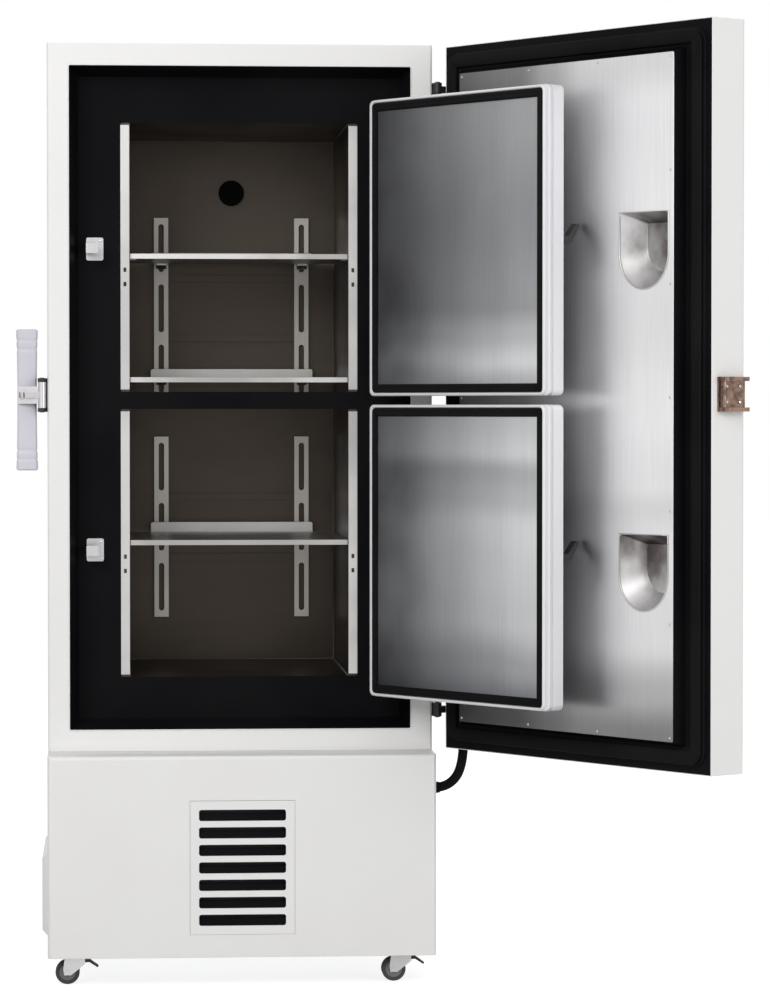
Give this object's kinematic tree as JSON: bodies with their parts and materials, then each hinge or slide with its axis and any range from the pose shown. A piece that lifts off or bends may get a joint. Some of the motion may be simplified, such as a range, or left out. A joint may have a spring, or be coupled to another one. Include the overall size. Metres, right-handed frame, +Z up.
{
  "type": "ultra low temperature freezer",
  "caption": "Upright freezer cabinet with an insulated outer door, inner doors, latching handle, pull-out shelves and a caster base with its grille.",
  "frame": {"origin": "middle of the whole part's box, on the floor under the wheels, outer door open", "axes": "+Z up, -Y towards the front of the cabinet, +X towards its hinge side"},
  "size_m": [1.4292, 1.4356, 1.946],
  "materials": {
    "painted_shell": "satin",
    "painted_base": "satin",
    "black_moulding": "satin",
    "stainless": "brushed",
    "bright_strip": "polished",
    "foam": "matt",
    "light_moulding": "satin",
    "grip_plastic": "satin",
    "seal_rubber": "matt",
    "hardware": "satin",
    "bronze": "satin",
    "black_metal": "satin",
    "galvanised": "matt",
    "filter_pad": "matt",
    "dark_screen": "gloss",
    "caster_tread": "satin"
  },
  "bodies": {
    "cabinet": {"cabinet_shell": "painted_shell", "cabinet_back_panel": "painted_shell", "insulation": "foam", "breaker_frame": "black_moulding", "mullion_bar": "black_moulding", "chamber_liner": "stainless", "shelf_uprights": "bright_strip", "shelf_clips": "hardware", "port_sleeve": "light_moulding", "inner_door_catches": "hardware", "inner_hinge_brackets": "hardware", "outer_hinge_brackets": "black_metal", "handle_bracket": "black_metal", "machine_housing": "painted_base", "lower_front_cover": "painted_base", "air_filter": "filter_pad", "base_frame": "galvanised", "condenser": "galvanised", "fan_shroud": "black_metal", "compressors": "black_metal", "rear_louvre_cover": "painted_base", "side_louvre_cover": "painted_base", "base_cable_gland": "black_moulding", "door_cable": "seal_rubber"},
    "outer_door": {"door_skin": "painted_shell", "door_foam": "foam", "door_inner_frame": "black_moulding", "door_liner": "stainless", "door_gasket": "seal_rubber", "latch_keeper": "bronze", "door_hinge_leaves": "black_metal", "door_cable_gland": "black_moulding", "display_bezel": "black_moulding", "display_screen": "dark_screen"},
    "upper_inner_door": {"upper_inner_door_frame": "light_moulding", "upper_inner_door_panel": "stainless", "upper_inner_door_gasket": "seal_rubber"},
    "upper_inner_door_lever": {"upper_inner_door_latch": "black_metal"},
    "lower_inner_door": {"lower_inner_door_frame": "light_moulding", "lower_inner_door_panel": "stainless", "lower_inner_door_gasket": "seal_rubber"},
    "lower_inner_door_lever": {"lower_inner_door_latch": "black_metal"},
    "handle": {"handle_lever": "hardware", "handle_grip": "grip_plastic"},
    "top_shelf": {"top_shelf": "stainless"},
    "middle_shelf": {"middle_shelf": "stainless"},
    "bottom_shelf": {"bottom_shelf": "stainless"},
    "plug": {"port_plug": "black_moulding"},
    "grille": {"grille_panel": "painted_base"},
    "fan": {"cooling_fan": "black_moulding"},
    "front_left_swivel": {"front_left_fork": "hardware"},
    "front_left_roller": {"front_left_wheel": "caster_tread"},
    "front_right_swivel": {"front_right_fork": "hardware"},
    "front_right_roller": {"front_right_wheel": "caster_tread"},
    "rear_left_swivel": {"rear_left_fork": "hardware"},
    "rear_left_roller": {"rear_left_wheel": "caster_tread"},
    "rear_right_swivel": {"rear_right_fork": "hardware"},
    "rear_right_roller": {"rear_right_wheel": "caster_tread"},
    "left_pedal": {"left_brake_pedal": "black_metal"},
    "right_pedal": {"right_brake_pedal": "black_metal"}
  },
  "joints": [
    {"name": "outer_door_hinge", "type": "hinge", "parent": "cabinet", "child": "outer_door", "pos_m": [0.16136, -0.05216, 1.218], "axis": [0, 0, 1], "range_deg": [-124.8, 4]},
    {"name": "upper_inner_door_hinge", "type": "hinge", "parent": "cabinet", "child": "upper_inner_door", "pos_m": [0.04836, -0.02716, 1.5235], "axis": [0, 0, 1], "range_deg": [-125.81, 4.1]},
    {"name": "upper_inner_door_latch_turn", "type": "hinge", "parent": "upper_inner_door", "child": "upper_inner_door_lever", "pos_m": [0.36603, -0.47617, 1.5235], "axis": [0.8111, 0.585, 0], "range_deg": [-90, 0]},
    {"name": "lower_inner_door_hinge", "type": "hinge", "parent": "cabinet", "child": "lower_inner_door", "pos_m": [0.04836, -0.02716, 0.894], "axis": [0, 0, 1], "range_deg": [-125.81, 4.1]},
    {"name": "lower_inner_door_latch_turn", "type": "hinge", "parent": "lower_inner_door", "child": "lower_inner_door_lever", "pos_m": [0.36603, -0.47617, 0.894], "axis": [0.8111, 0.585, 0], "range_deg": [-90, 0]},
    {"name": "handle_pivot", "type": "hinge", "parent": "cabinet", "child": "handle", "pos_m": [-0.66064, -0.04716, 1.218], "axis": [0, 0, -1], "range_deg": [-90, 0]},
    {"name": "top_shelf_slide", "type": "slide", "parent": "cabinet", "child": "top_shelf", "axis": [0, -1, 0], "range_m": [0, 0.3]},
    {"name": "middle_shelf_slide", "type": "slide", "parent": "cabinet", "child": "middle_shelf", "axis": [0, -1, 0], "range_m": [0, 0.3]},
    {"name": "bottom_shelf_slide", "type": "slide", "parent": "cabinet", "child": "bottom_shelf", "axis": [0, -1, 0], "range_m": [0, 0.3]},
    {"name": "port_plug_pull", "type": "slide", "parent": "cabinet", "child": "plug", "axis": [0, -1, 0], "range_m": [0, 0.065]},
    {"name": "grille_pull", "type": "slide", "parent": "cabinet", "child": "grille", "axis": [0, -1, 0], "range_m": [0, 0.05]},
    {"name": "fan_spin", "type": "hinge", "parent": "cabinet", "child": "fan", "pos_m": [-0.24964, -0.08316, 0.2405], "axis": [0, 1, 0], "continuous": true},
    {"name": "front_left_swivel_turn", "type": "hinge", "parent": "cabinet", "child": "front_left_swivel", "pos_m": [-0.58764, -0.08716, 0.053], "axis": [0, 0, 1], "continuous": true},
    {"name": "front_left_wheel_spin", "type": "hinge", "parent": "front_left_swivel", "child": "front_left_roller", "pos_m": [-0.60964, -0.08716, 0.025], "axis": [0, 1, 0], "continuous": true},
    {"name": "front_right_swivel_turn", "type": "hinge", "parent": "cabinet", "child": "front_right_swivel", "pos_m": [0.08836, -0.08716, 0.053], "axis": [0, 0, 1], "continuous": true},
    {"name": "front_right_wheel_spin", "type": "hinge", "parent": "front_right_swivel", "child": "front_right_roller", "pos_m": [0.06636, -0.08716, 0.025], "axis": [0, 1, 0], "continuous": true},
    {"name": "rear_left_swivel_turn", "type": "hinge", "parent": "cabinet", "child": "rear_left_swivel", "pos_m": [-0.58764, 0.64084, 0.053], "axis": [0, 0, 1], "continuous": true},
    {"name": "rear_left_wheel_spin", "type": "hinge", "parent": "rear_left_swivel", "child": "rear_left_roller", "pos_m": [-0.60964, 0.64084, 0.025], "axis": [0, 1, 0], "continuous": true},
    {"name": "rear_right_swivel_turn", "type": "hinge", "parent": "cabinet", "child": "rear_right_swivel", "pos_m": [0.08836, 0.64084, 0.053], "axis": [0, 0, 1], "continuous": true},
    {"name": "rear_right_wheel_spin", "type": "hinge", "parent": "rear_right_swivel", "child": "rear_right_roller", "pos_m": [0.06636, 0.64084, 0.025], "axis": [0, 1, 0], "continuous": true},
    {"name": "left_pedal_press", "type": "hinge", "parent": "front_left_swivel", "child": "left_pedal", "pos_m": [-0.57964, -0.08716, 0.047], "axis": [0, 1, 0], "range_deg": [0, 12]},
    {"name": "right_pedal_press", "type": "hinge", "parent": "front_right_swivel", "child": "right_pedal", "pos_m": [0.09636, -0.08716, 0.047], "axis": [0, 1, 0], "range_deg": [0, 12]}
  ],
  "couplings": [
    {"joint": "upper_inner_door_hinge", "follows": "outer_door_hinge", "ratio": 1.008},
    {"joint": "lower_inner_door_hinge", "follows": "outer_door_hinge", "ratio": 1.008}
  ]
}
